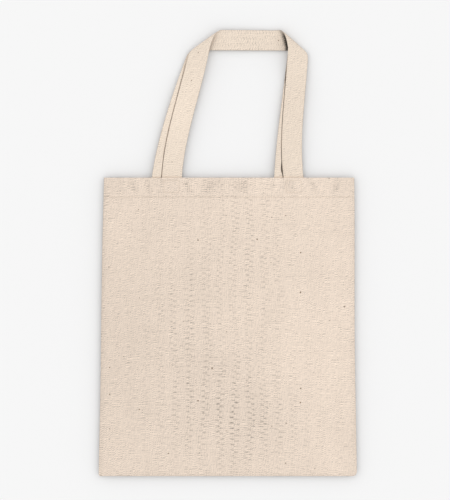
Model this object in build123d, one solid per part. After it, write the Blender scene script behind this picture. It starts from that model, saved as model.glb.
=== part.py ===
from build123d import *
import math
import os

# A canvas tote bag lying flat on its back, with its two webbing handles laid out above its mouth.
# Millimetres. +Z is up, +Y runs from the bottom seam to the handles, and +X is to the right of
# someone who looks at the front panel. The origin is on the floor, under the middle of the bag.

# Canvas body
mouth_width = 354.0  # side seam to side seam at the top edge
bottom_width = 366.0  # side seam to side seam at the bottom edge
bag_height = 423.0  # bottom seam to top edge
corner_radius = 5.0  # in plan, at the two bottom corners
canvas = 0.8  # one layer of cloth
seam_allowance = 10.0  # turned in along the sides and the bottom
hem_depth = 30.0  # turned in along the mouth
edge_flat = 12.0  # the front panel lies flat this far in from its seams
bottom_slope = 55.0  # then it climbs to its full height over this length

# Webbing handles
strap_width = 28.6
strap = 1.3  # thickness of the webbing
handle_rise = 209.5  # top edge of the bag to the top of the folded handle
inset_wide = 83.0  # side seam to strap, at the left of each panel seen from its outside
inset_narrow = 69.5  # side seam to strap, at its right
run_length = 137.6  # between the middles of a handle's two corner folds
run_shift = 30.8  # middle of that run, to the right of the middle of the bag
hinge_gap = 0.3  # sewn end to free strap, where the webbing bends at the hem
handle_gap = 0.8  # back handle to front handle, where they lie on each other
flat_beside_strap = 3.0  # level hem past the outer edge of a strap

# Sewing thread
thread = 0.5  # diameter, and depth of the groove it pulls into the cloth
thread_room = 0.02  # all round a stitch in its groove
groove_width = 0.7
stitch_pitch = 4.5
stitch_skip = 0.8  # cloth that shows between two stitches
hem_row_lift = 2.5  # hem stitches, above the hem's turned edge
tack_lift = 9.0  # lowest row of a handle's box of stitches, above the same edge
tack_drop = 4.0  # its highest row, below the top edge
tack_inset = 3.5  # its side rows, in from the strap's edges
seam_inset = 1.5  # seam stitches, in from the bag's edges
seam_pitch = 6.0
overlock_length = 6.0  # one overlock stitch, square to the cloth's raw edge
overlock_lap = 2.0  # how far it reaches past that edge
seam_room = 0.2  # thread to the panel above it

# Heights that follow from the layers
hem = 2 * canvas
fold_gap = hem - strap
back_legs = hem
front_legs = back_legs + 2 * strap + handle_gap + fold_gap
front_hem_inside = front_legs + strap
front_top_level = front_hem_inside + hem
seam_top = hem + thread + seam_room + hem
crown_height = front_top_level - seam_top

# Places along Y and across X
length = bag_height + handle_rise
bottom_y = -length / 2
top_y = bottom_y + bag_height
end_y = length / 2
side_slope = inset_narrow - edge_flat - flat_beside_strap
hem_edge_y = top_y - hem_depth
hem_row_y = hem_edge_y + hem_row_lift
half_strap = strap_width / 2
front_left = -mouth_width / 2 + inset_wide + half_strap
front_right = mouth_width / 2 - inset_narrow - half_strap
back_left = -mouth_width / 2 + inset_narrow + half_strap
back_right = mouth_width / 2 - inset_wide - half_strap
fold_left = run_shift - run_length / 2
fold_right = run_shift + run_length / 2

slope_steps = 6
above = 5.0  # how far cutting tools stand clear of what they cut


def half_width(y):
    """Half of the bag's width, which narrows from the bottom to the mouth."""
    share = (y - bottom_y) / bag_height
    return (bottom_width + (mouth_width - bottom_width) * share) / 2


def ease(share):
    """A smooth step from 0 to 1."""
    share = min(max(share, 0), 1)
    return share * share * (3 - 2 * share)


def crown(y):
    """How far the front panel has climbed at this y, at the middle of the bag."""
    return crown_height * ease((y - bottom_y - edge_flat) / bottom_slope)


def front_height(x, y):
    """Height of the front panel's outer face."""
    return seam_top + crown(y) * ease((half_width(y) - abs(x) - edge_flat) / side_slope)


def across(y, shift):
    """The front panel's outer face cut at this y, as edges from left to right, moved up by shift."""
    low = seam_top + shift
    high = low + crown(y)
    edge = half_width(y)
    foot = edge - edge_flat
    head = foot - side_slope
    lower_third = foot - side_slope / 3
    upper_third = head + side_slope / 3
    return [
        Line((-edge, y, low), (-foot, y, low)),
        Bezier((-foot, y, low), (-lower_third, y, low), (-upper_third, y, high), (-head, y, high)),
        Line((-head, y, high), (head, y, high)),
        Bezier((head, y, high), (upper_third, y, high), (lower_third, y, low), (foot, y, low)),
        Line((foot, y, low), (edge, y, low)),
    ]


def front_layer(stations, low, high):
    """A layer that follows the front panel's outer face between two shifts from it."""
    sections = []
    for y in stations:
        edge = half_width(y)
        sides = [
            Line((side, y, seam_top + low), (side, y, seam_top + high))
            for side in (-edge, edge)
        ]
        sections.append(Face(Wire(across(y, low) + across(y, high) + sides)))
    return loft(sections, ruled=True)


def plate(corners, low, high):
    """A flat plate over a polygon, from one height to another."""
    outline = Polyline(*[(x, y, low) for x, y in corners], close=True)
    return extrude(make_face(outline), high - low, dir=(0, 0, 1))


def panel_outline(inset, y_low, y_high):
    """The bag's outline between two heights, drawn in from its sides."""
    low = half_width(y_low) - inset
    high = half_width(y_high) - inset
    return [(-low, y_low), (low, y_low), (high, y_high), (-high, y_high)]


def bar(x_low, x_high, y_low, y_high, z_low, z_high):
    """A plain block between two corners."""
    return plate([(x_low, y_low), (x_high, y_low), (x_high, y_high), (x_low, y_high)], z_low, z_high)


def corner_cuts():
    """What rounds the two bottom corners of a panel in plan."""
    middle_y = bottom_y + corner_radius
    cuts = []
    for side in (-1, 1):
        middle_x = side * (half_width(middle_y) - corner_radius)
        outside = side * (bottom_width / 2 + above)
        block = bar(
            min(middle_x, outside), max(middle_x, outside),
            bottom_y - above, middle_y, -above, front_top_level + above,
        )
        tall = front_top_level + 4 * above
        round_part = Solid.make_cylinder(corner_radius, tall, Plane((middle_x, middle_y, -2 * above)))
        cuts.append(block - round_part)
    return cuts


def tack_rows(middle):
    """The four straight rows of a handle's box of stitches, as pairs of ends in plan."""
    left = middle - half_strap + tack_inset
    right = middle + half_strap - tack_inset
    low = hem_edge_y + tack_lift
    high = top_y - tack_drop
    corners = [(left, low), (right, low), (right, high), (left, high)]
    return [(corners[i], corners[(i + 1) % 4]) for i in range(4)]


def groove(row, z_low, z_high):
    """The straight groove of one row of stitches."""
    (x_1, y_1), (x_2, y_2) = row
    half = groove_width / 2
    return bar(
        min(x_1, x_2) - half, max(x_1, x_2) + half,
        min(y_1, y_2) - half, max(y_1, y_2) + half, z_low, z_high,
    )


def stitch(start, end):
    """One stitch: a short straight length of thread."""
    run = Vector(*end) - Vector(*start)
    return Solid.make_cylinder(thread / 2 - thread_room, run.length, Plane(start, z_dir=run))


def stitch_line(row, height, pitch):
    """Stitches along a row, at a height that may change along it."""
    (x_1, y_1), (x_2, y_2) = row
    reach = math.hypot(x_2 - x_1, y_2 - y_1)
    count = max(1, round(reach / pitch))
    half_skip = stitch_skip / 2 / reach
    stitches = []
    for i in range(count):
        ends = []
        for share in (i / count + half_skip, (i + 1) / count - half_skip):
            x = x_1 + (x_2 - x_1) * share
            y = y_1 + (y_2 - y_1) * share
            ends.append((x, y, height(x, y)))
        stitches.append(stitch(*ends))
    return stitches


def save(shape, name):
    """Writes one node."""
    export_step(shape, f"parts/{name}.step")


def hem_row():
    """The row of stitches that holds the hem, from side seam to side seam."""
    reach = half_width(hem_row_y) - seam_inset
    return (-reach, hem_row_y), (reach, hem_row_y)


def beside_straps(middles):
    """The lengths of the hem row that no sewn strap end covers."""
    (start, y), (end, _) = hem_row()
    edges = [start]
    for middle in middles:
        edges += [middle - half_strap, middle + half_strap]
    edges.append(end)
    return [((edges[i], y), (edges[i + 1], y)) for i in range(0, len(edges), 2)]


def under_straps(middles):
    """The lengths of the hem row that cross the sewn strap ends."""
    return [
        ((middle - half_strap, hem_row_y), (middle + half_strap, hem_row_y))
        for middle in middles
    ]


def make_front_panel():
    """The upper canvas panel: its hem and seam allowances are a second layer along its edges."""
    climb = [bottom_y + edge_flat + bottom_slope * i / slope_steps for i in range(slope_steps + 1)]
    stations = [bottom_y] + climb + [top_y]
    panel = front_layer(stations, -hem, 0)
    field_outline = panel_outline(seam_allowance, bottom_y + seam_allowance, hem_edge_y)
    field = plate(field_outline, -above, front_top_level + above)
    panel -= front_layer(stations, -hem - canvas, -canvas) & field
    across_row = [hem_row_y - groove_width / 2, hem_row_y + groove_width / 2]
    panel -= front_layer(across_row, -thread, canvas)
    panel -= front_layer(across_row, -hem - canvas, -hem + thread)
    for middle in (front_left, front_right):
        for row in tack_rows(middle):
            panel -= groove(row, front_top_level - thread, front_top_level + above)
    for cut in corner_cuts():
        panel -= cut
    return panel


def make_back_panel():
    """The lower canvas panel, flat on the floor."""
    panel = plate(panel_outline(0, bottom_y, top_y), 0, hem)
    field_outline = panel_outline(seam_allowance, bottom_y + seam_allowance, hem_edge_y)
    panel -= plate(field_outline, canvas, hem + above)
    rows = [hem_row()]
    for middle in (back_left, back_right):
        rows += tack_rows(middle)
    for row in rows:
        panel -= groove(row, -above, thread)
    panel -= groove(hem_row(), hem - thread, hem + above)
    for cut in corner_cuts():
        panel -= cut
    return panel


def make_sewn_end(middle, low, groove_low, groove_high):
    """The end of a webbing strap that is sewn to the inside of the hem."""
    end = bar(middle - half_strap, middle + half_strap, hem_edge_y, top_y, low, low + strap)
    for row in tack_rows(middle) + under_straps([middle]):
        end -= groove(row, groove_low, groove_high)
    return end


def fold_ends(base, fold):
    """Where one leg's edges meet the run's edges: the outer low end and the inner high end of its fold."""
    low_y = end_y - strap_width
    lean = (fold - base) / (end_y - half_strap - top_y)
    outward = -1 if fold == fold_left else 1
    outer = (base + outward * half_strap + lean * (low_y - top_y), low_y)
    inner = (base - outward * half_strap + lean * (end_y - top_y), end_y)
    return outer, inner


def make_fold(outer, inner, run_low):
    """The half-round bend in which a leg's webbing turns under and becomes the run."""
    along = Vector(inner[0] - outer[0], inner[1] - outer[1], 0)
    outward = Vector(0, 0, 1).cross(along).normalized()
    if outward.Y < 0:
        outward = -outward
    middle = (outer[0], outer[1], run_low + strap + fold_gap / 2)
    axis = Plane(middle, x_dir=outward.cross(along), z_dir=along)
    bend = Solid.make_cylinder(strap + fold_gap / 2, along.length, axis, 180)
    return bend - Solid.make_cylinder(fold_gap / 2, along.length, axis, 180)


def make_handle(base_left, base_right, legs_low):
    """One webbing handle: two legs, laid over the run that joins them at the top."""
    run_low = legs_low - fold_gap - strap
    start_y = top_y + hinge_gap
    folds = [fold_ends(base_left, fold_left), fold_ends(base_right, fold_right)]
    (outer_left, inner_left), (outer_right, inner_right) = folds
    handle = plate([outer_left, outer_right, inner_right, inner_left], run_low, run_low + strap)
    for base, (outer, inner) in zip((base_left, base_right), folds):
        ends = sorted([outer, inner])
        legs = [(base - half_strap, start_y), (base + half_strap, start_y), ends[1], ends[0]]
        handle += plate(legs, legs_low, legs_low + strap)
        handle += make_fold(outer, inner, run_low)
    reach = bottom_width
    return handle & bar(-reach, reach, top_y, end_y, -above, front_top_level + above)


def on_floor(x, y):
    """Height of a stitch in the grooves under the back panel."""
    return thread / 2


def on_back_hem(x, y):
    """Height of a stitch in the groove inside the back hem."""
    return hem - thread / 2


def on_back_strap(x, y):
    """Height of a stitch in a groove on a back strap's sewn end."""
    return back_legs + strap - thread / 2


def on_front(x, y):
    """Height of a stitch in the grooves on the front panel."""
    return front_height(x, y) - thread / 2


def on_front_hem(x, y):
    """Height of a stitch in the groove inside the front hem."""
    return front_height(x, y) - hem + thread / 2


def on_front_strap(x, y):
    """Height of a stitch in a groove under a front strap's sewn end."""
    return front_legs + thread / 2


def on_seam(x, y):
    """Height of the stitches between the two panels."""
    return hem + thread / 2


def make_hem_thread(middles, outside, inside, on_strap):
    """The hem's stitches on the outside of a panel, on its hem and on the strap ends."""
    stitches = stitch_line(hem_row(), outside, stitch_pitch)
    for row in beside_straps(middles):
        stitches += stitch_line(row, inside, stitch_pitch)
    for row in under_straps(middles):
        stitches += stitch_line(row, on_strap, stitch_pitch)
    return Compound(stitches)


def make_tack_thread(middle, outside, on_strap):
    """The box of stitches that fastens one strap end, on both faces."""
    stitches = []
    for row in tack_rows(middle):
        stitches += stitch_line(row, outside, stitch_pitch)
        stitches += stitch_line(row, on_strap, stitch_pitch)
    return Compound(stitches)


def side_row(side, inset, y_low, y_high):
    """A line beside one of the bag's side seams."""
    return (
        (side * (half_width(y_low) - inset), y_low),
        (side * (half_width(y_high) - inset), y_high),
    )


def make_side_overlock(side):
    """Overlock stitches over the raw edge of one side's seam allowance."""
    start = bottom_y + seam_allowance + seam_pitch
    count = int((hem_edge_y - seam_pitch - start) / seam_pitch)
    stitches = []
    for i in range(count + 1):
        y = start + seam_pitch * i
        inner = half_width(y) - seam_allowance - overlock_lap
        ends = [(side * reach, y, on_seam(0, y)) for reach in (inner, inner + overlock_length)]
        stitches.append(stitch(*ends))
    return Compound(stitches)


def make_bottom_overlock():
    """Overlock stitches over the raw edge of the bottom seam allowance."""
    inner = bottom_y + seam_allowance + overlock_lap
    reach = half_width(inner) - seam_allowance - overlock_lap - seam_pitch
    count = int(2 * reach / seam_pitch)
    stitches = []
    for i in range(count + 1):
        x = seam_pitch * (i - count / 2)
        ends = [(x, y, on_seam(x, y)) for y in (inner - overlock_length, inner)]
        stitches.append(stitch(*ends))
    return Compound(stitches)


os.makedirs("parts", exist_ok=True)

save(make_front_panel(), "front_panel")
save(make_back_panel(), "back_panel")
save(make_handle(front_left, front_right, front_legs), "front_handle")
save(make_handle(back_left, back_right, back_legs), "back_handle")

for side, middle in (("left", front_left), ("right", front_right)):
    sewn_end = make_sewn_end(middle, front_legs, front_legs - above, front_legs + thread)
    save(sewn_end, f"front_handle_{side}_end")
    save(make_tack_thread(middle, on_front, on_front_strap), f"front_{side}_tack_thread")
for side, middle in (("left", back_left), ("right", back_right)):
    strap_top = back_legs + strap
    sewn_end = make_sewn_end(middle, back_legs, strap_top - thread, strap_top + above)
    save(sewn_end, f"back_handle_{side}_end")
    save(make_tack_thread(middle, on_floor, on_back_strap), f"back_{side}_tack_thread")

front_middles = (front_left, front_right)
back_middles = (back_left, back_right)
save(make_hem_thread(front_middles, on_front, on_front_hem, on_front_strap), "front_hem_thread")
save(make_hem_thread(back_middles, on_floor, on_back_hem, on_back_strap), "back_hem_thread")

seam_low = bottom_y + seam_allowance
for name, side in (("left", -1), ("right", 1)):
    seam = side_row(side, seam_inset, seam_low, top_y - seam_inset)
    save(Compound(stitch_line(seam, on_seam, seam_pitch)), f"{name}_seam_thread")
    save(make_side_overlock(side), f"{name}_overlock_thread")
seam_y = bottom_y + seam_inset
reach = half_width(seam_y) - seam_allowance
bottom_row = ((-reach, seam_y), (reach, seam_y))
save(Compound(stitch_line(bottom_row, on_seam, seam_pitch)), "bottom_seam_thread")
save(make_bottom_overlock(), "bottom_overlock_thread")
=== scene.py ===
import math
from functools import partial
import bpy
import numpy as np
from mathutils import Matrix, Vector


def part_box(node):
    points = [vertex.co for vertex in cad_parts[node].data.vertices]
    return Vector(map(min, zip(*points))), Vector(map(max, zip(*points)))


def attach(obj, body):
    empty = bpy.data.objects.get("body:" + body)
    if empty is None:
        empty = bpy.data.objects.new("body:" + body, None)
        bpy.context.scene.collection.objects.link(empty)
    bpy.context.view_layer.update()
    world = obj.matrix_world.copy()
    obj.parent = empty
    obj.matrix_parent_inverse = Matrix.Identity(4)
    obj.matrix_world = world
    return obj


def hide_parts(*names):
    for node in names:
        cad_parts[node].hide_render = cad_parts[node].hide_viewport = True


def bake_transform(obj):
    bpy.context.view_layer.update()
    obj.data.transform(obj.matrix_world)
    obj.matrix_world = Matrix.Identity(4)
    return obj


# A natural canvas tote bag, lying flat with its two webbing handles laid out above its mouth.
# Metres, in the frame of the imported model.

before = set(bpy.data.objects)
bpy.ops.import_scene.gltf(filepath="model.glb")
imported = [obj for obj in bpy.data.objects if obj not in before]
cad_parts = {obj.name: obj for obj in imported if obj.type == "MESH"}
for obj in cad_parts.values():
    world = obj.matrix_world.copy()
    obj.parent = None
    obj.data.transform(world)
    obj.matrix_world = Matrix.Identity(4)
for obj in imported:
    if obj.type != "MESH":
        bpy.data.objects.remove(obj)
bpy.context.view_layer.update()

mm = 0.001

# Canvas body
bottom_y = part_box("back_panel")[0].y
top_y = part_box("back_panel")[1].y
bag_height = top_y - bottom_y
top_half = {-1: 175.9 * mm, 1: 178.8 * mm}  # half of the width at the mouth, to the left and to the right
bottom_half = 183.0 * mm
fullness = {-1: 1.15, 1: 1.7}  # how late each side widens towards the bottom
corner_round = {-1: 3.0 * mm, 1: 6.0 * mm}  # rounding of the bottom corners
mesh_half = 180 * mm  # half of the width that the mesh columns are laid out over
canvas = 0.8 * mm
hem = 2 * canvas
hem_depth = 30 * mm
hem_edge_y = top_y - hem_depth
hem_row_y = hem_edge_y + 2.5 * mm
seam_allowance = 10 * mm
rim_lift = 4.6 * mm  # how far the sewn edges stand off the floor
rim_reach = 58 * mm  # width of the cloth that rises towards them
seam_top = rim_lift + 2 * hem + 0.15 * mm
crown_height = 1.4 * mm
mouth_sag = 7.8 * mm  # height of the front hem away from the straps
mouth_held = 8.6 * mm  # height of the front hem over a sewn strap end
mouth_reach = 70 * mm  # the front takes the height of its hem this far down
edge_flat = 9 * mm  # the front lies low this far in from its seams
crown_slope = 58 * mm  # width over which it then climbs to its crown
edge_roll = 2.4 * mm  # width of the rounding along the sewn edges
edge_drop = 1.5 * mm  # height of that rounding
least_cloth = 0.04 * mm  # what is left of the thickness where two faces meet
cloth_step = 2.6 * mm  # spacing of a panel's mesh
yarn_pair = 1.42 * mm  # width of two yarns side by side
ripple_depth = 0.3 * mm  # depth of the wrinkles in the front hem
ripple_drop = 12 * mm  # they are deepest this far below the mouth

# Wrinkles in the front hem: middle and half width in mm, slant, and share of the depth
hem_wrinkles = (
    (-150, 5, 0.2, 0.5), (-133, 5, 0.5, 1.1), (-112, 4, 0.1, 0.8), (-57, 4, 0.1, 1.0), (-24, 9, -0.3, 1.1),
    (-8, 5, 0.4, 0.8), (20, 10, 0.1, 1.0), (41, 5, -0.3, 0.5), (64, 4, 0.0, 0.6), (88, 7, 0.2, 0.9),
    (122, 5, 0.6, 1.1), (154, 6, -0.2, 0.9),
)

# Webbing handles
strap_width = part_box("front_handle_left_end")[1].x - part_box("front_handle_left_end")[0].x
half_strap = strap_width / 2
strap = 1.3 * mm
end_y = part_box("front_handle")[1].y
run_y = end_y - half_strap
strap_step = 1.6 * mm
press_depth = 2.3 * mm  # the rear straps are pressed down beside the front ones
press_width = 1.5 * mm
square_length = 30 * mm  # above the mouth a strap's edges turn square to its line over this length
sink_length = 26 * mm  # it comes down from the hem over this length
climb_start = 80 * mm  # it starts to climb to its fold this far below the run
climb_length = 62 * mm
fold_swell = 0.95  # roundness of a corner fold in plan
fold_power = 1.2  # how far its roundness gathers at the inner end
fold_steps = 14
edge_thinning = 0.62  # share of the webbing's thickness that is lost at its rounded edges

# Sewing thread
thread = 0.5 * mm
stitch_pitch = 4.5 * mm
stitch_skip = 0.9 * mm
stitch_rise = 0.1 * mm
stitch_arch = 0.14 * mm
tack_lift = 9 * mm
tack_drop = 4 * mm
tack_inset = 3.5 * mm
overlock_pitch = 3 * mm
overlock_length = 6 * mm
overlock_lap = 2 * mm
seam_inset = 1.5 * mm


def middle_x(node):
    """The middle of a node, from left to right."""
    low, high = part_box(node)
    return (low.x + high.x) / 2


front_bases = (middle_x("front_handle_left_end"), middle_x("front_handle_right_end"))
back_bases = (middle_x("back_handle_left_end"), middle_x("back_handle_right_end"))


def ease(share):
    """A smooth step from 0 to 1."""
    share = np.clip(share, 0, 1)
    return share * share * (3 - 2 * share)


def new_object(name, points, faces, material, uv=None):
    """A smooth-shaded mesh object, with cloth coordinates in metres where they are given."""
    mesh = bpy.data.meshes.new(name)
    mesh.from_pydata([tuple(point) for point in points], [], faces)
    mesh.validate()
    if uv is not None:
        layer = mesh.uv_layers.new(name="cloth")
        corners = np.zeros(len(mesh.loops), np.int32)
        mesh.loops.foreach_get("vertex_index", corners)
        layer.data.foreach_set("uv", np.asarray(uv, np.float32)[corners].ravel())
    mesh.polygons.foreach_set("use_smooth", [True] * len(mesh.polygons))
    mesh.materials.append(material)
    mesh.update()
    made = bpy.data.objects.new(name, mesh)
    bpy.context.scene.collection.objects.link(made)
    return made


def add_values(piece, name, values):
    """A number at every point of a piece, for its material."""
    attribute = piece.data.attributes.new(name, "FLOAT", "POINT")
    attribute.data.foreach_set("value", np.asarray(values, np.float32))


def sharpen(piece, is_sharp):
    """Marks the edges whose two ends pass a test as sharp."""
    for edge in piece.data.edges:
        ends = [piece.data.vertices[i].co for i in edge.vertices]
        edge.use_edge_sharp = all(is_sharp(end) for end in ends)


# The canvas panels

def straight_edge(side, y):
    """Half of the bag's width at this height, as the cloth lies: a little fuller towards the bottom."""
    share = (top_y - y) / bag_height
    slack = 0.9 * mm * np.sin(2 * math.pi * (share + 0.1 * side)) * (1 - share)
    return top_half[side] + (bottom_half - top_half[side]) * share ** fullness[side] + slack


def outline_edge(side, y):
    """Half of the bag's width at this height, with the bottom corner rounded."""
    radius = corner_round[side]
    into_corner = np.clip(radius - (y - bottom_y), 0, radius)
    return straight_edge(side, y) - (radius - np.sqrt(radius ** 2 - into_corner ** 2))


def spread(low, high, step, extra):
    """Numbers from low to high at about one step, with extra ones where a form needs them."""
    count = max(2, round((high - low) / step))
    wanted = np.array(sorted(value for value in extra if low <= value <= high))
    plain = np.linspace(low, high, count + 1)
    clear = [v for v in plain if len(wanted) == 0 or np.abs(wanted - v).min() > 0.3 * step]
    return np.array(sorted(set(clear) | set(wanted) | {low, high}))


def roll_steps(width):
    """Distances in from a rounded edge, close together at the edge."""
    return [width * (1 - math.cos(math.radians(angle))) for angle in (0, 14, 28, 42, 56, 70, 84)]


def panel_rows():
    """Heights of a panel's mesh rows, from the bottom seam to the mouth."""
    extra = [bottom_y + d for d in roll_steps(edge_roll)]
    extra += [top_y - d for d in roll_steps(canvas)]
    for y in (bottom_y + seam_allowance, hem_edge_y):
        extra += [y - 0.5 * mm, y + 0.5 * mm]
    extra += [hem_row_y + d * mm for d in (-1.8, -0.9, 0, 0.9, 1.8)]
    return spread(bottom_y, top_y, cloth_step, extra)


def panel_columns(strap_middles):
    """Places across a panel as shares of its half width, from the middle to the right edge."""
    inset = roll_steps(edge_roll) + [seam_allowance - 0.5 * mm, seam_allowance + 0.5 * mm]
    extra = [mesh_half - d for d in inset]
    for middle in strap_middles:
        for edge in (abs(middle) - half_strap, abs(middle) + half_strap):
            extra += [edge - 0.8 * mm, edge, edge + 0.8 * mm]
    return spread(0, mesh_half, cloth_step, extra) / mesh_half


def drape(x, y):
    """The slack of the cloth: low, long waves that differ all over the panel."""
    waves = (
        (0.42, 148, 0.35, 0.4), (0.34, 105, 1.25, 2.1), (0.28, 83, 2.3, 4.4),
        (0.22, 64, 0.9, 1.3), (0.16, 47, 1.8, 5.2), (0.10, 31, 0.15, 3.3),
    )
    height = 0
    for size, length, heading, start in waves:
        across = x * math.cos(heading) + y * math.sin(heading)
        height = height + size * mm * np.sin(2 * math.pi * across / (length * mm) + start)
    return height


def puckers(along, inward, reach, pitch, size):
    """Small gathers that a row of sewing draws into the cloth, fading out from it."""
    gather = np.sin(2 * math.pi * along / pitch + 2.2 * np.sin(along / (3.1 * pitch)))
    uneven = 0.55 + 0.45 * np.sin(along / (2.3 * pitch) + 1.0)
    return size * gather * uneven * np.exp(-np.abs(inward) / reach)


def panel_grid(sides, strap_middles):
    """The mesh grid of a panel: places in plan, and the distances in from its edges."""
    rows = panel_rows()
    right = panel_columns(strap_middles)
    if len(sides) == 2:
        columns = np.concatenate([-right[:0:-1], right])
    else:
        columns = -right[::-1] if sides[0] < 0 else right
    y = np.repeat(rows[:, None], len(columns), 1)
    half = np.where(columns < 0, outline_edge(-1, y), outline_edge(1, y))
    x = columns * half
    from_side = half - np.abs(x)
    return x, y, from_side, y - bottom_y, top_y - y


def rolled(from_side, from_bottom):
    """How far the outer face has turned down towards the seams."""
    side = np.clip(1 - from_side / edge_roll, 0, 1)
    bottom = np.clip(1 - from_bottom / edge_roll, 0, 1)
    reach = np.clip(np.hypot(side, bottom), 0, 1)
    return edge_drop * (1 - np.sqrt(1 - reach ** 2))


def mouth_roll(from_top):
    """How far each face of the hem has turned in at the folded edge of the mouth."""
    reach = np.clip(1 - from_top / canvas, 0, 1)
    return canvas * (1 - np.sqrt(1 - reach ** 2)) * 0.96


def layers(from_side, from_bottom, y):
    """Thickness of the cloth: two layers along the hem and the seam allowances."""
    inside = [
        ease((from_side - seam_allowance) / mm + 0.5),
        ease((from_bottom - seam_allowance) / mm + 0.5),
        ease((hem_edge_y - y) / mm + 0.5),
    ]
    return hem - canvas * np.minimum(np.minimum(inside[0], inside[1]), inside[2])


def over_straps(x, y, strap_middles):
    """Where a sewn strap end presses through the hem."""
    mask = 0
    for middle in strap_middles:
        mask = np.maximum(mask, ease((half_strap - np.abs(x - middle)) / (0.9 * mm) + 0.5))
    return mask * ease((y - hem_edge_y) / (2 * mm) + 0.5)


def rim_rise(from_side, from_bottom):
    """How far the back panel stands off the floor towards its sewn edges."""
    side = ease(1 - from_side / rim_reach)
    bottom = ease(1 - from_bottom / rim_reach)
    return rim_lift * np.clip(np.hypot(side, bottom), 0, 1)


def mouth_height(x, from_side):
    """Height of the front hem: held up by the strap ends and the side seams, and slack between them."""
    held = 0
    for middle in front_bases:
        held = np.maximum(held, ease((half_strap + 16 * mm - np.abs(x - middle)) / (16 * mm)))
    height = mouth_sag + (mouth_held - mouth_sag) * held
    return height + (seam_top - height) * ease(1 - from_side / (40 * mm))


def hem_ripples(x, from_top):
    """Wrinkles between the hem's row of sewing and the mouth: hollows with ridges beside them."""
    total = 0
    below = from_top - ripple_drop
    for middle, width, slant, depth in hem_wrinkles:
        away = (x - middle * mm - slant * below) / (width * mm)
        total = total + depth * (0.5 * np.exp(-((away - 1.9) / 0.9) ** 2) - np.exp(-away ** 2))
    return total * np.exp(-(below / (9 * mm)) ** 2)


def strap_lines(x, from_top):
    """The crease beside each sewn strap end, fading out below the mouth."""
    line = 0
    for middle in front_bases:
        line = line + np.exp(-((x - middle + half_strap) / (0.7 * mm)) ** 2)
    return line * (1 - ease((from_top - 4 * mm) / (20 * mm)))


def front_faces(x, y, from_side, from_bottom, from_top):
    """Heights of the front panel's outer and inner faces."""
    climb = ease((from_side - edge_flat) / crown_slope) * ease((from_bottom - edge_flat) / crown_slope)
    slack = ease(from_side / (35 * mm)) * ease(from_bottom / (35 * mm)) * ease(from_top / mouth_reach + 0.12)
    body = seam_top + crown_height * climb + drape(x, y) * slack
    mouth = mouth_height(x, from_side)
    plain = mouth + (body - mouth) * ease(from_top / mouth_reach)
    plain = plain + ripple_depth * hem_ripples(x, from_top) * ease(from_side / (20 * mm))
    plain = plain - 0.4 * mm * strap_lines(x, from_top)
    plain = plain + puckers(y, from_side, 9 * mm, 17 * mm, 0.22 * mm) * ease(from_side / (4 * mm))
    plain = plain + puckers(x, from_bottom, 9 * mm, 19 * mm, 0.2 * mm) * ease(from_bottom / (4 * mm))
    plain = plain + puckers(x, y - hem_row_y, 8 * mm, 14 * mm, 0.26 * mm) * ease(from_side / (8 * mm))
    pressed = 0.3 * mm * over_straps(x, y, front_bases)
    sewn_in = 0.3 * mm * np.exp(-((y - hem_row_y) / (0.9 * mm)) ** 2)
    step = 0.2 * mm * ease((y - hem_edge_y) / (1.5 * mm) + 0.5)
    drop = np.maximum(rolled(from_side, from_bottom), mouth_roll(from_top))
    outer = plain + (pressed + step) * ease(from_side / (12 * mm)) - sewn_in - drop
    inner = plain - layers(from_side, from_bottom, y) + mouth_roll(from_top)
    return outer, np.minimum(inner, outer - least_cloth)


def back_faces(x, y, from_side, from_bottom, from_top):
    """Heights of the back panel's outer face, which lies on the floor, and its inner face."""
    rise = rim_rise(from_side, from_bottom)
    outer = rise + np.maximum(0.85 * rolled(from_side, from_bottom), mouth_roll(from_top))
    wave = 0.15 * mm * np.sin(x / (23 * mm)) * np.sin(y / (31 * mm)) * ease(from_side / (30 * mm))
    inner = rise + layers(from_side, from_bottom, y) + np.abs(wave) - mouth_roll(from_top)
    return outer, np.maximum(inner, outer + least_cloth)


def weft_bow(x, y):
    """How far the cloth's weft has been drawn out of level."""
    left = np.tanh((x + 115 * mm) / (60 * mm)) * np.exp(-((y + 30 * mm) / (120 * mm)) ** 2)
    right = np.tanh((x - 130 * mm) / (50 * mm)) * np.exp(-((y - 10 * mm) / (90 * mm)) ** 2)
    return -11 * mm * left - 5 * mm * right + 2 * mm * np.sin((x + 0.4 * y) / (60 * mm))


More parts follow.
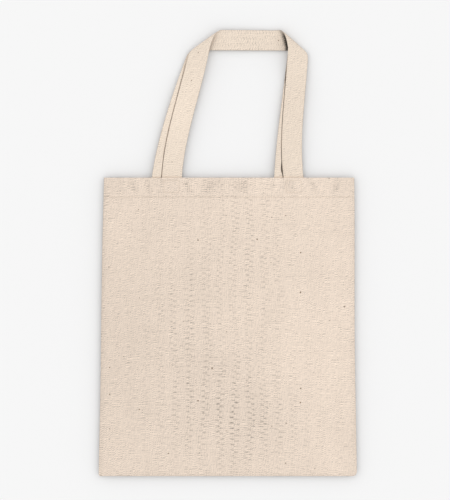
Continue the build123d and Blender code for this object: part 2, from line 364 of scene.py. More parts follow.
def make_panel(name, sides, faces_at, strap_middles, material):
    """A closed panel: an outer and an inner face, joined round their edge."""
    x, y, from_side, from_bottom, from_top = panel_grid(sides, strap_middles)
    heights = faces_at(x, y, from_side, from_bottom, from_top)
    points = np.concatenate([np.stack([x, y, z], -1).reshape(-1, 3) for z in heights])
    row_count, column_count = x.shape
    index = np.arange(row_count * column_count).reshape(row_count, column_count)
    other = index + row_count * column_count
    upper, lower = (index, other) if heights[0].mean() > heights[1].mean() else (other, index)
    faces = []
    for r in range(row_count - 1):
        for c in range(column_count - 1):
            faces.append((upper[r, c], upper[r, c + 1], upper[r + 1, c + 1], upper[r + 1, c]))
            faces.append((lower[r, c], lower[r + 1, c], lower[r + 1, c + 1], lower[r, c + 1]))
    rim = np.concatenate([
        np.stack([upper[0], lower[0]], -1),
        np.stack([upper[1:, -1], lower[1:, -1]], -1),
        np.stack([upper[-1, -2::-1], lower[-1, -2::-1]], -1),
        np.stack([upper[-2:0:-1, 0], lower[-2:0:-1, 0]], -1),
    ])
    for (top_a, low_a), (top_b, low_b) in zip(rim, np.roll(rim, -1, axis=0)):
        faces.append((top_a, low_a, low_b, top_b))
    cloth = np.stack([x, y + weft_bow(x, y)], -1).reshape(-1, 2)
    panel = new_object(name, points, faces, material, np.concatenate([cloth, cloth]))
    edge = np.minimum(from_side, from_bottom).reshape(-1)
    add_values(panel, "seam_distance", np.concatenate([edge, edge]))
    # Painted shade: the hem's hollows, its row of sewing and the line beside each sewn strap end are painted
    # darker.
    hollows = np.clip(-hem_ripples(x, from_top), 0, 1)
    sewn_row = np.exp(-((y - hem_row_y) / (1.1 * mm)) ** 2)
    painted_crease_shade = 1.2 * hollows + 0.5 * sewn_row + 1.3 * strap_lines(x, from_top)
    painted_crease_shade = np.clip(painted_crease_shade, 0, 1.5).reshape(-1)
    add_values(panel, "painted_crease_shade", np.concatenate([painted_crease_shade, painted_crease_shade]))
    return panel


# The webbing handles

class Leg:
    """One leg of a handle: its middle line in plan, and the corner fold that it ends in.

    facing is 1 for the left leg, whose run goes to the right, and -1 for the right leg.
    bulge and lift are the fold's depth in plan and its height, at its outer and its inner end.
    skew slants the weave of the cloth along the strap.
    dip lowers the run under the fold, and edges is how far the left and right edges curl up.
    slump is how far the fold lies below the run's line, and flare how far its inner end is drawn out.
    All of these but skew are in mm.
    painted_fold_shade is how much painted shade darkens the run inside the fold, and painted_gap_shade how
    much painted shade darkens the strap beside the one that lies on it. gape is how much wider it stands
    open there, just above the mouth.
    """

    def __init__(
        self, points, facing, bulge, lift, skew=0.0, dip=0.0, edges=(0.0, 0.0),
        painted_fold_shade=0.0, slump=0.0, flare=0.0, gape=0.0, painted_gap_shade=0.0,
    ):
        xs, ys = np.array(points).T * mm
        self.line = np.polynomial.Polynomial.fit(ys, xs, len(points) - 1)
        self.facing = facing
        self.bulge = bulge
        self.lift = lift
        self.skew = skew
        self.dip = dip * mm
        self.edges = edges
        self.painted_fold_shade = painted_fold_shade
        self.flare = flare * mm
        self.gape = gape
        self.painted_gap_shade = painted_gap_shade
        corner_y = run_y - slump * mm
        self.corner = np.array([self.line(corner_y), corner_y])
        up = np.array([self.line.deriv()(run_y), 1.0])
        self.up = up / np.hypot(*up)
        self.run = np.array([facing, 0.0])
        crease = self.up + self.run
        self.crease = crease / np.hypot(*crease)
        self.cosine = self.up @ self.crease
        self.sine = math.sqrt(1 - self.cosine ** 2)
        outward = self.up - self.cosine * self.crease
        self.outward = outward / np.hypot(*outward)
        self.inner_edge = self.fold_path(np.array([1.0]), np.linspace(0, 0.55, 24)[:, None] * math.pi)[:, 0]

    def reach_at(self, y):
        """How far the leg's edges stand from its middle line, measured level."""
        slant = np.hypot(1, self.line.deriv()(y))
        return half_strap * (1 / slant + (slant - 1 / slant) * ease((y - top_y) / square_length))

    def fold_depth(self, t):
        """Depth of the fold in plan for each line along the strap."""
        return between(2 * ((t + 1) / 2) ** fold_power - 1, self.bulge)

    def fold_reach(self, t):
        """How far the fold reaches along the strap, before and after its crease."""
        return math.pi * self.fold_depth(t) / (2 * self.sine)

    def fold_ends(self, t):
        """Where the fold starts and ends for each line along the strap."""
        reach = self.fold_reach(t)[:, None]
        crease = self.corner + np.outer(t * half_strap / self.sine, self.crease)
        return crease - reach * self.up, crease + reach * self.run

    def fold_path(self, t, turn):
        """The fold in plan."""
        enter, leave = self.fold_ends(t)
        swell = (np.sin(turn) * self.fold_depth(t) * fold_swell)[..., None] * self.outward
        drawn_out = np.sin(turn) * (1 - ease(2 * turn / math.pi - 1)) * ((t + 1) / 2) ** 1.5
        swell = swell + (self.flare * drawn_out)[..., None] * self.crease
        return enter + (leave - enter) * (turn / math.pi)[..., None] + swell


def between(t, pair):
    """A size in mm that changes from the outer to the inner edge of a strap."""
    return (pair[0] + (pair[1] - pair[0]) * (t + 1) / 2) * mm


def arc_length(line, start_y, y):
    """Length of a leg's middle line from its start to each y."""
    samples = np.linspace(start_y, end_y, 200)
    steps = np.hypot(np.diff(samples), np.diff(line(samples)))
    return np.interp(y, samples, np.concatenate([[0], np.cumsum(steps)]))


def half_handle(leg, t, levels, over):
    """Rows of points from a leg's sewn end to the end of its fold, with cloth coordinates.

    Also how much painted shade darkens it, in the gap beside the strap that lies on it and inside its fold,
    on the face that is up along the leg and on the other face.
    over is the leg that lies on this one and presses it down, if there is one.
    """
    sewn, laid, run_level = levels
    run_level = run_level - leg.dip
    start_y = hem_edge_y + 1 * mm
    enter = leg.fold_ends(t)[0]

    share = np.linspace(0, 1, round((run_y - start_y) / strap_step) + 1)[:, None]
    middle_end = np.interp(0, t, enter[:, 1])
    y = start_y + (middle_end - start_y) * share + (enter[:, 1] - middle_end)[None, :] * share ** 3
    lean = leg.line.deriv()(y)
    size = np.hypot(1, lean)
    x = leg.line(y) + leg.facing * t * half_strap / size
    y = y - leg.facing * t * half_strap * lean / size * ease((y - top_y) / square_length)
    settle = share ** 6
    x = x + (enter[:, 0] - x[-1]) * settle
    y = y + (enter[:, 1] - y[-1]) * settle
    above_mouth = y - top_y
    down = ease((above_mouth - 1 * mm) / sink_length)
    rise = ease((y - run_y + climb_start) / climb_length)
    z = sewn + (laid - sewn) * down + (run_level + between(t, leg.lift) - laid) * rise
    free = down * (1 - rise)
    across = leg.facing * t
    curl = leg.edges[0] * np.clip(-across, 0, 1) ** 2 + leg.edges[1] * np.clip(across, 0, 1) ** 2
    z = z + curl * mm * free
    leg_gap_shade = np.zeros(x.shape)
    if over:
        past = x - over.line(y) + over.reach_at(y)
        wide = press_width * (1 + leg.gape * np.exp(-((above_mouth - 12 * mm) / (8 * mm)) ** 2))
        pressed = ease((past + wide) / (0.6 * mm))
        press_share = ease(above_mouth / (6 * mm)) * (1 - rise)
        spring = ease((above_mouth + 3 * mm) / (3 * mm)) * (1 - ease((above_mouth - 4 * mm) / (34 * mm)))
        spring = spring * (3.8 * mm + 1.0 * mm * ease(above_mouth / (3 * mm)))
        z = z - press_depth * press_share * pressed + spring * (1 - pressed)
        z = np.maximum(z, strap / 2 + 0.2 * mm)
        # Painted shade in the groove beside the edge of the strap that lies on this one, weaker along one
        # stretch of the leg.
        groove = pressed - ease(past / (0.8 * mm) - 0.2)
        lighter_stretch = 0.8 * np.exp(-((above_mouth - 50 * mm) / (12 * mm)) ** 2)
        leg_gap_shade = leg.painted_gap_shade * (1 - lighter_stretch) * (1 - rise ** 3) * groove
        leg_gap_shade = leg_gap_shade * ease((above_mouth + 1 * mm) / (3 * mm))
    along = arc_length(leg.line, start_y, y)
    leg_rows = np.stack([x, y, z], -1)
    leg_cloth = np.stack([np.broadcast_to(t * half_strap, x.shape), along], -1)

    turn = np.linspace(0, math.pi, fold_steps + 1)[1:, None]
    plan = leg.fold_path(t, turn)
    drop = (1 - np.cos(turn)) / 2
    fold_z = z[-1] + (run_level - z[-1]) * drop
    fold_rows = np.concatenate([plan, fold_z[..., None]], -1)
    fold_along = along[-1] + 2 * leg.fold_reach(t) * turn / math.pi
    fold_cloth = np.stack([np.broadcast_to(t * half_strap, fold_z.shape), fold_along], -1)

    rows = np.concatenate([leg_rows, fold_rows])
    cloth = np.concatenate([leg_cloth, fold_cloth])
    cloth[..., 1] += leg.skew * cloth[..., 0]
    fold_shade = fold_shade_at(leg, fold_rows) * ease(2 * turn / math.pi - 0.5)
    above = np.concatenate([leg_gap_shade, np.zeros(fold_shade.shape)])
    below = np.concatenate([np.zeros(leg_gap_shade.shape), fold_shade])
    return rows, cloth, above, below


def fold_shade_at(leg, points):
    """How much painted shade darkens the run beside the leg that is folded over it, where the fold shades
    it.
    """
    x, y = points[..., 0], points[..., 1]
    straight = leg.line(y) + leg.facing * leg.reach_at(y)
    curved = np.interp(y, leg.inner_edge[:, 1], leg.inner_edge[:, 0])
    clear = leg.facing * (x - np.where(y < leg.inner_edge[0, 1], straight, curved))
    down = np.clip((leg.corner[1] + half_strap - y) / strap_width, 0, 1)
    core = 1.0 * mm + 1.6 * mm * np.sin(math.pi * np.clip(down, 0, 0.85))
    deep = (1 - ease((clear - core) / (3.2 * mm))) * (0.45 + 0.55 * ease(down / 0.35))
    return leg.painted_fold_shade * (0.86 * deep + 0.14 * np.exp(-np.clip(clear, 0, None) / (6 * mm)))


def make_handle(name, legs, levels, columns, over, material):
    """A handle: one length of webbing, sewn in at both ends and folded over at two corners."""
    t = np.sin(np.linspace(-0.5, 0.5, columns + 1) * math.pi)
    halves = [half_handle(leg, t, levels, other) for leg, other in zip(legs, over)]
    left_rows, left_cloth, left_above, left_below = halves[0]
    right_rows, right_cloth, right_above, right_below = halves[1]
    count = round((right_rows[-1, 0, 0] - left_rows[-1, 0, 0]) / strap_step)
    share = np.linspace(0, 1, count + 1)[1:-1, None, None]
    run_rows = left_rows[-1] + (right_rows[-1] - left_rows[-1]) * share
    gap = np.hypot(*(right_rows[-1] - left_rows[-1]).T[:2])
    length = (left_cloth[-1, :, 1] + gap + right_cloth[-1, :, 1]).mean()
    right_cloth[..., 1] = length - right_cloth[..., 1]
    run_cloth = left_cloth[-1] + (right_cloth[-1] - left_cloth[-1]) * share
    # Painted shade on the run inside both folds.
    run_fold_shade = fold_shade_at(legs[0], run_rows) + fold_shade_at(legs[1], run_rows)
    above = np.concatenate([left_above, np.zeros(run_fold_shade.shape), right_above[::-1]])
    below = np.concatenate([left_below, run_fold_shade, right_below[::-1]])
    middle = np.concatenate([left_rows, run_rows, right_rows[::-1]])
    cloth = np.concatenate([left_cloth, run_cloth, right_cloth[::-1]])
    wander = 0.25 * mm * np.sin(cloth[..., 1] / (17 * mm)) + 0.2 * mm * np.sin(cloth[..., 1] / (7.3 * mm))
    middle[..., 2] += wander * 0.4 * (np.abs(t) ** 3)

    normal = np.cross(np.gradient(middle, axis=1), np.gradient(middle, axis=0))
    normal /= np.linalg.norm(normal, axis=-1, keepdims=True)
    out = normal * (strap / 2 * (1 - edge_thinning * np.abs(t) ** 9))[:, None]
    rings = np.concatenate([middle + out, (middle - out)[:, ::-1]], axis=1)
    ring_cloth = np.concatenate([cloth, cloth[:, ::-1]], axis=1)
    row_count, ring_count = rings.shape[:2]
    index = np.arange(row_count * ring_count).reshape(row_count, ring_count)
    faces = []
    for r in range(row_count - 1):
        for k in range(ring_count):
            n = (k + 1) % ring_count
            faces.append((index[r, k], index[r, n], index[r + 1, n], index[r + 1, k]))
    for r, turned in ((0, True), (row_count - 1, False)):
        for k in range(columns):
            cap = [index[r, k], index[r, k + 1], index[r, -2 - k], index[r, -1 - k]]
            faces.append(tuple(cap[::-1] if turned else cap))
    handle = new_object(name, rings.reshape(-1, 3), faces, material, ring_cloth.reshape(-1, 2))
    edge = half_strap - np.abs(ring_cloth[..., 0])
    add_values(handle, "seam_distance", edge.reshape(-1))
    # The crease values are painted shade: beside the strap that lies on each leg and inside the folds.
    add_values(handle, "crease", np.concatenate([above, below[:, ::-1]], axis=1).reshape(-1))
    return handle, length


# Sewing

def bead(start, end, radius, arch):
    """One stitch: a short plump length of thread that dips into the cloth at both ends."""
    sides = 6
    flatness = 0.8
    stations = ((0.0, 0.45, -1.0), (0.12, 0.9, 0.2), (0.5, 1.0, 1.0), (0.88, 0.9, 0.2), (1.0, 0.45, -1.0))
    start = np.array(start)
    run = np.array(end) - start
    heading = run / np.linalg.norm(run)
    side = np.cross(heading, (0, 0, 1.0))
    points = []
    for share, girth, lift in stations:
        middle = start + run * share + np.array([0, 0, arch * lift])
        for k in range(sides):
            angle = 2 * math.pi * k / sides
            out = math.cos(angle) * side + math.sin(angle) * np.array([0, 0, flatness])
            points.append(middle + radius * girth * out)
    faces = []
    for s in range(len(stations) - 1):
        for k in range(sides):
            n = (k + 1) % sides
            faces.append((s * sides + k, s * sides + n, (s + 1) * sides + n, (s + 1) * sides + k))
    faces.append(tuple(range(sides))[::-1])
    faces.append(tuple(range((len(stations) - 1) * sides, len(stations) * sides)))
    return points, faces


def row_ends(row):
    """The two ends of every stitch along a straight row in plan."""
    start, end = np.array(row[0]), np.array(row[1])
    reach = np.hypot(*(end - start))
    count = max(1, round(reach / stitch_pitch))
    half_skip = stitch_skip / 2 / reach
    ends = []
    for i in range(count):
        pair = [start + (end - start) * s for s in (i / count + half_skip, (i + 1) / count - half_skip)]
        ends.append(pair)
    return ends


def sewn_object(name, beads, material):
    """Stitches as one object, each given as the start, end, radius and arch of its bead."""
    points = []
    faces = []
    for given in beads:
        made, sides = bead(*given)
        faces += [tuple(i + len(points) for i in face) for face in sides]
        points += made
    return new_object(name, points, faces, material)


def make_stitches(name, rows, material, keep=None):
    """Beads along rows, each given as its plan, its height at a point and the side that it shows on."""
    beads = []
    for row, height, shows in rows:
        for ends in row_ends(row):
            if keep is not None and not keep((ends[0][0] + ends[1][0]) / 2):
                continue
            start, end = [(x, y, height(x, y) + shows * stitch_rise) for x, y in ends]
            beads.append((start, end, thread * 0.55, shows * stitch_arch))
    return sewn_object(name, beads, material)


def zigzag(name, corners, material):
    """An overlocked edge: thread laid to and fro over the raw edge of the cloth."""
    beads = [(start, end, thread * 0.5, 0.1 * mm) for start, end in zip(corners, corners[1:])]
    return sewn_object(name, beads, material)


# Materials

def feed(socket, value):
    """Links a socket to an output in its own tree, or sets it to a plain value."""
    if isinstance(value, bpy.types.NodeSocket):
        socket.id_data.links.new(value, socket)
    else:
        socket.default_value = value


def fill(node, inputs):
    """Feeds the inputs of a node by name."""
    for label, value in inputs.items():
        feed(node.inputs[label], value)


def add_node(tree, kind, inputs=None, **settings):
    """A new node with the inputs and settings given."""
    made = tree.nodes.new(kind)
    for name, value in settings.items():
        setattr(made, name, value)
    fill(made, inputs or {})
    return made


def calc(operation, *values):
    """The result of a Math node, in the tree that its values come from."""
    tree = next(value.id_data for value in values if isinstance(value, bpy.types.NodeSocket))
    made = add_node(tree, "ShaderNodeMath", operation=operation)
    for socket, value in zip(made.inputs, values):
        feed(socket, value)
    return made.outputs[0]


plus = partial(calc, "ADD")
minus = partial(calc, "SUBTRACT")
times = partial(calc, "MULTIPLY")
divide = partial(calc, "DIVIDE")


def ramp(value, low, high):
    """A smooth step from 0 at low to 1 at high."""
    limits = {"Value": value, "From Min": low, "From Max": high}
    made = add_node(value.id_data, "ShaderNodeMapRange", limits, interpolation_type="SMOOTHSTEP")
    return made.outputs["Result"]


def join(x, y, z=0.0):
    """A vector of its coordinates."""
    return add_node(x.id_data, "ShaderNodeCombineXYZ", {"X": x, "Y": y, "Z": z}).outputs[0]


def split(vector):
    """The first two coordinates of a vector."""
    return add_node(vector.id_data, "ShaderNodeSeparateXYZ", {"Vector": vector}).outputs[:2]


def noise(x, y, layer, detail=1.0):
    """Smooth noise over two coordinates, another one for each layer."""
    inputs = {"Vector": join(x, y, layer), "Scale": 1.0, "Detail": detail}
    return add_node(x.id_data, "ShaderNodeTexNoise", inputs).outputs["Fac"]


def scaled(colour, factor):
    """A colour made lighter or darker."""
    inputs = {"Vector": colour, "Scale": factor}
    return add_node(factor.id_data, "ShaderNodeVectorMath", inputs, operation="SCALE").outputs[0]


def bump(height, strength, distance):
    """The normal of a fine relief."""
    inputs = {"Strength": strength, "Distance": distance, "Height": height}
    return add_node(height.id_data, "ShaderNodeBump", inputs).outputs[0]


def new_group(name, sizes, results):
    """An empty shader node group over the cloth: its tree, its inputs and its outputs by name."""
    tree = bpy.data.node_groups.new(name, "ShaderNodeTree")
    sockets = [("Cloth", "INPUT", "Vector")] + [(label, "INPUT", "Float") for label in sizes]
    sockets += [(label, "OUTPUT", "Float") for label in results]
    for label, way, kind in sockets:
        tree.interface.new_socket(name=label, in_out=way, socket_type=f"NodeSocket{kind}")
    given = tree.nodes.new("NodeGroupInput")
    return tree, given.outputs, tree.nodes.new("NodeGroupOutput").inputs


def plain_weave_group():
    """Warp and weft yarns that pass over and under each other."""
    tree, given, result = new_group("plain_weave", ["Warp Pitch", "Weft Pitch"], ["Height", "Gap"])
    u, v = split(given["Cloth"])
    sway_size = 6 * mm
    sway = times(noise(divide(u, sway_size), divide(v, sway_size), 3.0), 1.6)
    warp = calc("SINE", plus(times(divide(u, given["Warp Pitch"]), math.pi), sway))
    weft = calc("SINE", plus(times(divide(v, given["Weft Pitch"]), math.pi), sway))
    over = ramp(times(warp, weft), -0.2, 0.2)
    warp_up = times(calc("ABSOLUTE", warp), over)
    weft_up = times(calc("ABSOLUTE", weft), minus(1.0, over))
    height = plus(warp_up, weft_up)
    feed(result["Height"], height)
    feed(result["Gap"], ramp(height, 0.45, 0.1))
    return tree


def cotton_flecks_group():
    """Uneven yarns: tone from row to row, thin places, blotches, and specks of seed husk."""
    sizes = ["Row", "Length", "Column Gap", "Dash Gap"]
    tree, given, result = new_group("cotton_flecks", sizes, ["Tone", "Thin", "Blotch", "Seed"])
    u, v = split(given["Cloth"])
    row = calc("FLOOR", divide(v, given["Row"]))
    band = calc("FLOOR", divide(row, 4.0))
    odd = calc("FLOORED_MODULO", row, 2.0)
    sign = minus(1.0, times(odd, 2.0))
    along = divide(u, given["Length"])
    crossing = calc("FLOOR", plus(divide(u, yarn_pair), divide(odd, 2.0)))
    slub = add_node(tree, "ShaderNodeTexWhiteNoise", noise_dimensions="2D")
    feed(slub.inputs["Vector"], join(crossing, band))
    swings = times(minus(slub.outputs["Value"], 0.5), 0.34)
    steady = 0.0
    for stretch, line, layer, share in (
        (1.0, band, 1.0, 0.6), (10.0, band, 5.0, 0.8), (1.4, row, 2.0, 0.3), (6.5, row, 3.0, 0.45),
    ):
        place = plus(times(along, stretch), times(line, 7.31 + layer))
        streak = times(minus(noise(place, times(line, 3.17), layer), 0.5), share)
        if line is band:
            swings = plus(swings, streak)
        else:
            steady = plus(streak, steady)
    tone = plus(times(swings, sign), steady)
    tone = calc("MINIMUM", times(tone, 1.2), times(tone, 0.8))
    feed(result["Tone"], plus(tone, 0.5))

    drift = noise(divide(u, 50 * mm), divide(v, 110 * mm), 12.0)
    turns = plus(divide(u, given["Column Gap"]), times(drift, 1.1))
    column = calc("COSINE", times(turns, 2 * math.pi))
    stagger = times(calc("FLOOR", turns), 0.37)
    rows = plus(divide(v, given["Dash Gap"]), plus(stagger, drift))
    dash = calc("COSINE", times(rows, 2 * math.pi))
    uneven = noise(divide(u, 9 * mm), calc("FLOOR", rows), 9.0)
    thin = times(ramp(column, -0.7, 0.5), ramp(dash, 0.42, 0.94))
    feed(result["Thin"], times(thin, ramp(uneven, 0.36, 0.60)))
    feed(result["Blotch"], noise(divide(u, 55 * mm), divide(v, 70 * mm), 30.0, 2.0))

    spread_out = {"Vector": given["Cloth"], "Scale": 48.0}
    cells = add_node(tree, "ShaderNodeTexVoronoi", spread_out, voronoi_dimensions="2D").outputs
    chance, girth = split(cells["Color"])
    size = plus(times(girth, 0.028), 0.022)
    speck = ramp(cells["Distance"], plus(size, 0.014), size)
    feed(result["Seed"], times(speck, ramp(chance, 0.87, 0.95)))
    return tree


plain_weave = plain_weave_group()
cotton_flecks = cotton_flecks_group()


def place_group(tree, group, **values):
    """The outputs of a node group in a material, with its own values."""
    inputs = {name.replace("_", " ").title(): value for name, value in values.items()}
    return add_node(tree, "ShaderNodeGroup", inputs, node_tree=group).outputs


def new_material(name):
    """An empty material: its tree and its shader."""
    material = bpy.data.materials.new(name)
    material.use_nodes = True
    tree = material.node_tree
    return material, tree, tree.nodes["Principled BSDF"]


def spot(place, middle, size):
    """A soft oval patch of the cloth, with its middle and its size in mm."""
    total = 0.0
    for given, centre, reach in zip(split(place), middle, size):
        away = divide(minus(given, centre * mm), reach * mm)
        total = plus(times(away, away), total)
    return calc("EXPONENT", times(total, -1.0))


def cloth_material(name, colour, flecks_at, weave_at, strengths, edge_wear_and_shade, tone_and_light_patches):
    """Unbleached cotton: uneven yarns in a weave, specks, soft blotches, edges darker with wear and painted
    shade, and painted shade in creases.

    Each patch has a middle, a size, how much lighter it is, and how far thin places gather in it. The
    lighter and darker patches are partly the cloth's own tone and partly painted light and shade.
    """
    husk = (0.19, 0.12, 0.07, 1)
    thin_elsewhere = 0.18
    material, tree, shader = new_material(name)
    tone_by, thin_by, blotch_by, gap_by = strengths
    place = add_node(tree, "ShaderNodeUVMap", uv_map="cloth").outputs[0]
    flecks = place_group(tree, cotton_flecks, cloth=place, **flecks_at)
    weave = place_group(tree, plain_weave, cloth=place, **weave_at)
    edge, painted_crease_shade, crease = [
        add_node(tree, "ShaderNodeAttribute", attribute_name=label).outputs["Fac"]
        for label in ("seam_distance", "painted_crease_shade", "crease")
    ]
    drift = times(minus(flecks["Blotch"], 0.5), blotch_by)
    gathered = thin_elsewhere
    for middle, size, lighter, loose in tone_and_light_patches:
        patch = spot(place, middle, size)
        drift = plus(drift, times(patch, lighter))
        gathered = plus(times(patch, loose), gathered)
    factor = times(minus(flecks["Tone"], 0.5), tone_by)
    factor = plus(plus(factor, drift), 1.0)
    thin = times(times(flecks["Thin"], gathered), thin_by)
    gaps = times(weave["Gap"], gap_by)
    # Painted shade in creases: darker in the hem's hollows, along its row of sewing and beside the strap
    # ends.
    drawn = times(times(painted_crease_shade, minus(0.85, flecks["Tone"])), 0.30)
    # Darker towards the sewn edges and the webbing's selvedges: partly wear, partly painted shade.
    worn_and_shaded_edges = times(ramp(edge, edge_wear_and_shade[0], 0.0), edge_wear_and_shade[1])
    for darker in (thin, gaps, drawn, worn_and_shaded_edges):
        factor = minus(factor, darker)
    # Painted shade from the crease values: in the gaps between the straps and inside their folds.
    factor = times(factor, minus(1.0, crease))
    colours = {"Factor": times(flecks["Seed"], 0.95), "A": scaled(colour, factor), "B": husk}
    relief = plus(weave["Height"], times(flecks["Tone"], 0.6))
    fill(shader, {
        "Base Color": add_node(tree, "ShaderNodeMix", colours, data_type="RGBA").outputs["Result"],
        "Roughness": plus(0.84, times(flecks["Tone"], 0.12)),
        "Specular IOR Level": 0.2,
        "Sheen Weight": 0.06,
        "Normal": bump(relief, 0.5, 0.14 * mm),
    })
    return material


def thread_material():
    """Natural cotton thread, with the slant of its twisted plies."""
    material, tree, shader = new_material("thread")
    u, v = split(add_node(tree, "ShaderNodeTexCoord").outputs["Object"])
    ply = calc("SINE", divide(plus(u, v), 0.09 * mm))
    fibre = noise(divide(u, 0.4 * mm), divide(v, 0.4 * mm), 2.0)
    factor = plus(0.9, times(plus(ply, fibre), 0.06))
    fill(shader, {
        "Base Color": scaled((0.80, 0.69, 0.57), factor),
        "Roughness": plus(0.7, times(fibre, 0.2)),
        "Specular IOR Level": 0.25,
        "Normal": bump(ply, 0.4, 0.05 * mm),
    })
    return material


canvas_cloth = cloth_material(
    "canvas",
    colour=(0.845, 0.714, 0.600),
    flecks_at={"row": yarn_pair, "length": 10 * mm, "column_gap": 21 * mm, "dash_gap": 7.7 * mm},
    weave_at={"warp_pitch": 0.71 * mm, "weft_pitch": 0.71 * mm},
    strengths=(0.66, 0.42, 0.12, 0.10),
    edge_wear_and_shade=(9 * mm, 0.045),
    # Lighter and darker patches: partly the canvas's own tone, partly painted light and shade, darker at the
    # lower left and low in the middle, lighter up the middle and towards the right.
    tone_and_light_patches=[
        ((15, -234), (70, 62), -0.05, 0.95),
        ((25, 0), (50, 120), 0.0, 0.55),
        ((-65, -125), (42, 110), -0.01, 0.5),
        ((-125, -150), (80, 150), -0.045, 0.0),
        # A narrow band of painted shade along the left edge.
        ((-180, -70), (12, 200), -0.055, 0.0),
        ((38, 85), (85, 50), 0.035, 0.0),
        ((135, -100), (75, 240), 0.045, 0.0),
    ],
)
webbing = cloth_material(
    "webbing",
    colour=(0.86, 0.738, 0.617),
    flecks_at={"row": yarn_pair, "length": 6 * mm, "column_gap": 9 * mm, "dash_gap": 4.3 * mm},
    weave_at={"warp_pitch": 1.1 * mm, "weft_pitch": yarn_pair},
    strengths=(0.56, 0.07, 0.10, 0.08),
    # Selvedges darker: partly wear, partly painted shade.
    edge_wear_and_shade=(0.7 * mm, 0.25),
    tone_and_light_patches=[((0, 118), (40, 50), 0.08, 0.0), ((0, 285), (40, 50), 0.02, 4.5)],
)
sewing_thread = thread_material()


# The pieces

def sew_to(piece, slot, *nodes):
    """Hides the solids that a piece stands for; the piece and the name of its finish are not used."""
    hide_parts(*nodes)


sewing = {}


def sew_thread(sewn, cloth, node):
    """Stitches that stand for a solid, and the piece of cloth that they are sewn into."""
    sew_to(sewn, "thread", node)
    sewing.setdefault(cloth, []).append(sewn)


back_panel = make_panel("canvas_back", (-1, 1), back_faces, back_bases, canvas_cloth)
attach(back_panel, "back_panel")
sew_to(back_panel, "canvas", "back_panel")

both_sides = ((-1, "left"), (1, "right"))
for side, word in both_sides:
    half = make_panel(f"canvas_front_{word}", (side,), front_faces, front_bases, canvas_cloth)
    sharpen(half, lambda point: abs(point.x) < 1e-6)
    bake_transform(half)
    sew_to(half, "canvas", "front_panel")

mouth_at = 106.75  # where a leg leaves the bag and where its run lies, in mm
run_at = 301.95
front_legs = (
    Leg([(-79.2, mouth_at), (-70.6, 166), (-55.5, 226), (-37.8, run_at)], 1, bulge=(4.4, 10.2),
        lift=(1.6, 5.5), edges=(0.0, 3.4), painted_fold_shade=0.18, flare=3.6),
    Leg([(93.2, mouth_at), (90.9, 160), (94.0, 214), (99.6, run_at)], -1, bulge=(6.0, 11.2),
        lift=(1.8, 9.5), skew=0.3, dip=1.7, edges=(0.0, 3.4), painted_fold_shade=0.97, slump=0.5, flare=4.2),
)
back_legs = (
    Leg([(-93.6, mouth_at), (-82.3, 160), (-61.6, 228), (-35.3, run_at)], 1, bulge=(5.4, 12.0),
        lift=(1.6, 2.0), edges=(3.6, 0.0), painted_gap_shade=0.3),
    Leg([(79.9, mouth_at), (84.3, 160), (92.6, 228), (101.3, run_at)], -1, bulge=(7.2, 13.6),
        lift=(1.6, 2.0), edges=(3.6, 0.0), slump=0.5, gape=1.0, painted_gap_shade=0.6),
)
# Heights of a handle's middle where it is sewn in, along its legs and along its run
front_levels = (5.95 * mm, 4.5 * mm, 4.35 * mm)
back_levels = (2.25 * mm, 2.9 * mm, 0.7 * mm)
handle_plans = (
    ("front", front_legs, front_levels, 16, (None, None), "webbing_back"),
    ("back", back_legs, back_levels, 96, front_legs, "floor"),
)
for word, legs, levels, columns, over, under in handle_plans:
    handle, length = make_handle(f"webbing_{word}", legs, levels, columns, over, webbing)
    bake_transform(handle)
    sew_to(handle, "webbing", f"{word}_handle", f"{word}_handle_left_end", f"{word}_handle_right_end")


def surface(faces_at, face):
    """Height of one face of a panel as a function of a place in plan."""
    def height(x, y):
        from_side = outline_edge(-1 if x < 0 else 1, y) - abs(x)
        return float(faces_at(x, y, from_side, y - bottom_y, top_y - y)[face])
    return height


front_outside = surface(front_faces, 0)
front_inside = surface(front_faces, 1)
back_outside = surface(back_faces, 0)
back_inside = surface(back_faces, 1)


def level(z):
    """The same height everywhere."""
    return lambda x, y: z


def hem_rows(strap_middles, outside, inside, on_strap, up):
    """Hem stitches on the outside, on the turned hem and across the sewn strap ends."""
    reach_left = outline_edge(-1, hem_row_y) - 2 * mm
    reach_right = outline_edge(1, hem_row_y) - 2 * mm
    rows = [(((-reach_left, hem_row_y), (reach_right, hem_row_y)), outside, up)]
    stops = [-reach_left]
    for middle in strap_middles:
        stops += [middle - half_strap, middle + half_strap]
    stops.append(reach_right)
    for i in range(len(stops) - 1):
        sewn_face = on_strap if i % 2 else inside
        rows.append((((stops[i], hem_row_y), (stops[i + 1], hem_row_y)), sewn_face, -up))
    return rows


def tack_rows(middle, outside, on_strap, up):
    """The box of stitches that fastens one strap end, on both faces."""
    left = middle - half_strap + tack_inset
    right = middle + half_strap - tack_inset
    low = hem_edge_y + tack_lift
    high = top_y - tack_drop
    corners = [(left, low), (right, low), (right, high), (left, high)]
    box = [(corners[i], corners[(i + 1) % 4]) for i in range(4)]
    return [(row, outside, up) for row in box] + [(row, on_strap, -up) for row in box]


under_front_strap = level(front_levels[0] - strap / 2)
over_back_strap = level(back_levels[0] + strap / 2)


def under_bag(x, y):
    """The underside of the back panel, with the stitches drawn up into it."""
    return back_outside(x, y) + 0.3 * mm


front_rows = hem_rows(front_bases, front_outside, front_inside, under_front_strap, 1)
for side, word in both_sides:
    name = f"hem_stitches_front_{word}"
    stitches = make_stitches(name, front_rows, sewing_thread, lambda x: x * side > 0)
    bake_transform(stitches)
    sew_thread(stitches, f"front_{word}", "front_hem_thread")

back_rows = hem_rows(back_bases, under_bag, back_inside, over_back_strap, -1)
stitches = make_stitches("hem_stitches_back", back_rows, sewing_thread)
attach(stitches, "back_panel")
sew_thread(stitches, "back", "back_hem_thread")

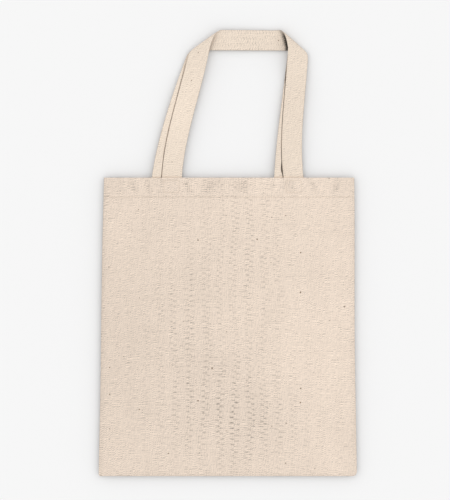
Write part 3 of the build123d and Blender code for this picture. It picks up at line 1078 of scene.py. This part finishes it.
for i, word in enumerate(("left", "right")):
    for panel, cloth, rows in (
        ("front", f"front_{word}", tack_rows(front_bases[i], front_outside, under_front_strap, 1)),
        ("back", "back", tack_rows(back_bases[i], under_bag, over_back_strap, -1)),
    ):
        stitches = make_stitches(f"tack_stitches_{panel}_{word}", rows, sewing_thread)
        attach(stitches, f"{panel}_panel")
        sew_thread(stitches, cloth, f"{panel}_{word}_tack_thread")


def overlock_corners(place, start, end):
    """To and fro over a raw edge: place gives the inner and the outer point at each step along it."""
    count = round((end - start) / overlock_pitch)
    corners = []
    for i in range(count + 1):
        x, y = place(start + (end - start) * i / count, i % 2)
        corners.append((x, y, back_inside(x, y) + thread / 2))
    return corners


def side_edge(side):
    """The raw edge of one side's seam allowance."""
    def place(y, outer):
        inner = outline_edge(side, y) - seam_allowance - overlock_lap
        return side * (inner + outer * overlock_length), y
    return place


def bottom_edge(x, outer):
    """The raw edge of the bottom seam allowance."""
    return x, bottom_y + seam_allowance + overlock_lap - outer * overlock_length


overlock_low = bottom_y + seam_allowance + 2 * overlock_pitch
bottom_reach = 160 * mm  # half of the overlocked length along the bottom
for word, place, start, end in (
    ("left", side_edge(-1), overlock_low, hem_edge_y),
    ("right", side_edge(1), overlock_low, hem_edge_y),
    ("bottom", bottom_edge, -bottom_reach, bottom_reach),
):
    overlock = zigzag(f"overlock_{word}", overlock_corners(place, start, end), sewing_thread)
    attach(overlock, "back_panel")
    sew_thread(overlock, "back", f"{word}_overlock_thread")


def seam_rows(places):
    """Stitches from place to place along a seam, between the two panels."""
    return [((start, end), back_inside, 1) for start, end in zip(places, places[1:])]


seam_steps = np.linspace(bottom_y + seam_allowance, top_y - seam_inset, 9)
seam_y = bottom_y + seam_inset
seam_reach = straight_edge(1, seam_y) - seam_allowance
for word, places in (
    ("left", [(seam_inset - outline_edge(-1, y), y) for y in seam_steps]),
    ("right", [(outline_edge(1, y) - seam_inset, y) for y in seam_steps]),
    ("bottom", [(-seam_reach, seam_y), (seam_reach, seam_y)]),
):
    stitches = make_stitches(f"seam_stitches_{word}", seam_rows(places), sewing_thread)
    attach(stitches, "back_panel")
    sew_thread(stitches, "back", f"{word}_seam_thread")


# The studio

def shown_or_cast(tree, shown, cast):
    """One value for what is seen, also in a mirror or through glass, and one for the light sent on."""
    path = add_node(tree, "ShaderNodeLightPath").outputs
    seen = calc("MAXIMUM", path["Is Camera Ray"], path["Is Glossy Ray"])
    seen = calc("MAXIMUM", seen, path["Is Transmission Ray"])
    inputs = {"Factor": seen, "A": cast, "B": shown}
    return add_node(tree, "ShaderNodeMix", inputs, data_type="FLOAT").outputs[0]


def make_floor(shown, cast):
    """A plain pale floor, far larger than the bag."""
    material, tree, shader = new_material("floor")
    channels = dict.fromkeys(("Red", "Green", "Blue"), shown_or_cast(tree, shown, cast))
    grey = add_node(tree, "ShaderNodeCombineColor", channels).outputs[0]
    fill(shader, {"Base Color": grey, "Roughness": 1.0, "Specular IOR Level": 0.0})
    size = 12
    below = -0.5 * mm
    corners = [(-size, -size, below), (size, -size, below), (size, size, below), (-size, size, below)]
    floor = new_object("floor", corners, [(0, 1, 2, 3)], material)


def light_studio(dome, key_share, key_angle, key_heading, key_softness, backdrop):
    """An even white dome, and a very weak soft light from the right."""
    world = bpy.data.worlds.new("studio")
    bpy.context.scene.world = world
    world.use_nodes = True
    tree = world.node_tree
    strength = shown_or_cast(tree, backdrop, dome)
    fill(tree.nodes["Background"], {"Color": (1, 1, 1, 1), "Strength": strength})
    lamp = bpy.data.lights.new("key", "SUN")
    lamp.energy = key_share * math.pi / math.sin(math.radians(key_angle))
    lamp.angle = math.radians(key_softness)
    key = bpy.data.objects.new("key", lamp)
    key.rotation_euler = (0, math.radians(90 - key_angle), math.radians(key_heading))
    bpy.context.scene.collection.objects.link(key)


def set_camera():
    """Straight down on the bag, from far enough to flatten its heights as the picture does."""
    picture_height = 710 * mm
    aim = (-3.9 * mm, 4.2 * mm)
    distance = 3.0
    data = bpy.data.cameras.new("camera")
    data.sensor_width = 36
    data.lens = data.sensor_width * distance / picture_height
    camera = bpy.data.objects.new("camera", data)
    camera.location = (*aim, distance)
    bpy.context.scene.collection.objects.link(camera)
    bpy.context.scene.camera = camera


make_floor(shown=0.93, cast=0.33)
light_studio(dome=0.985, key_share=0.015, key_angle=45, key_heading=-15, key_softness=40, backdrop=0.93)
set_camera()
bpy.context.scene.view_settings.view_transform = "Standard"
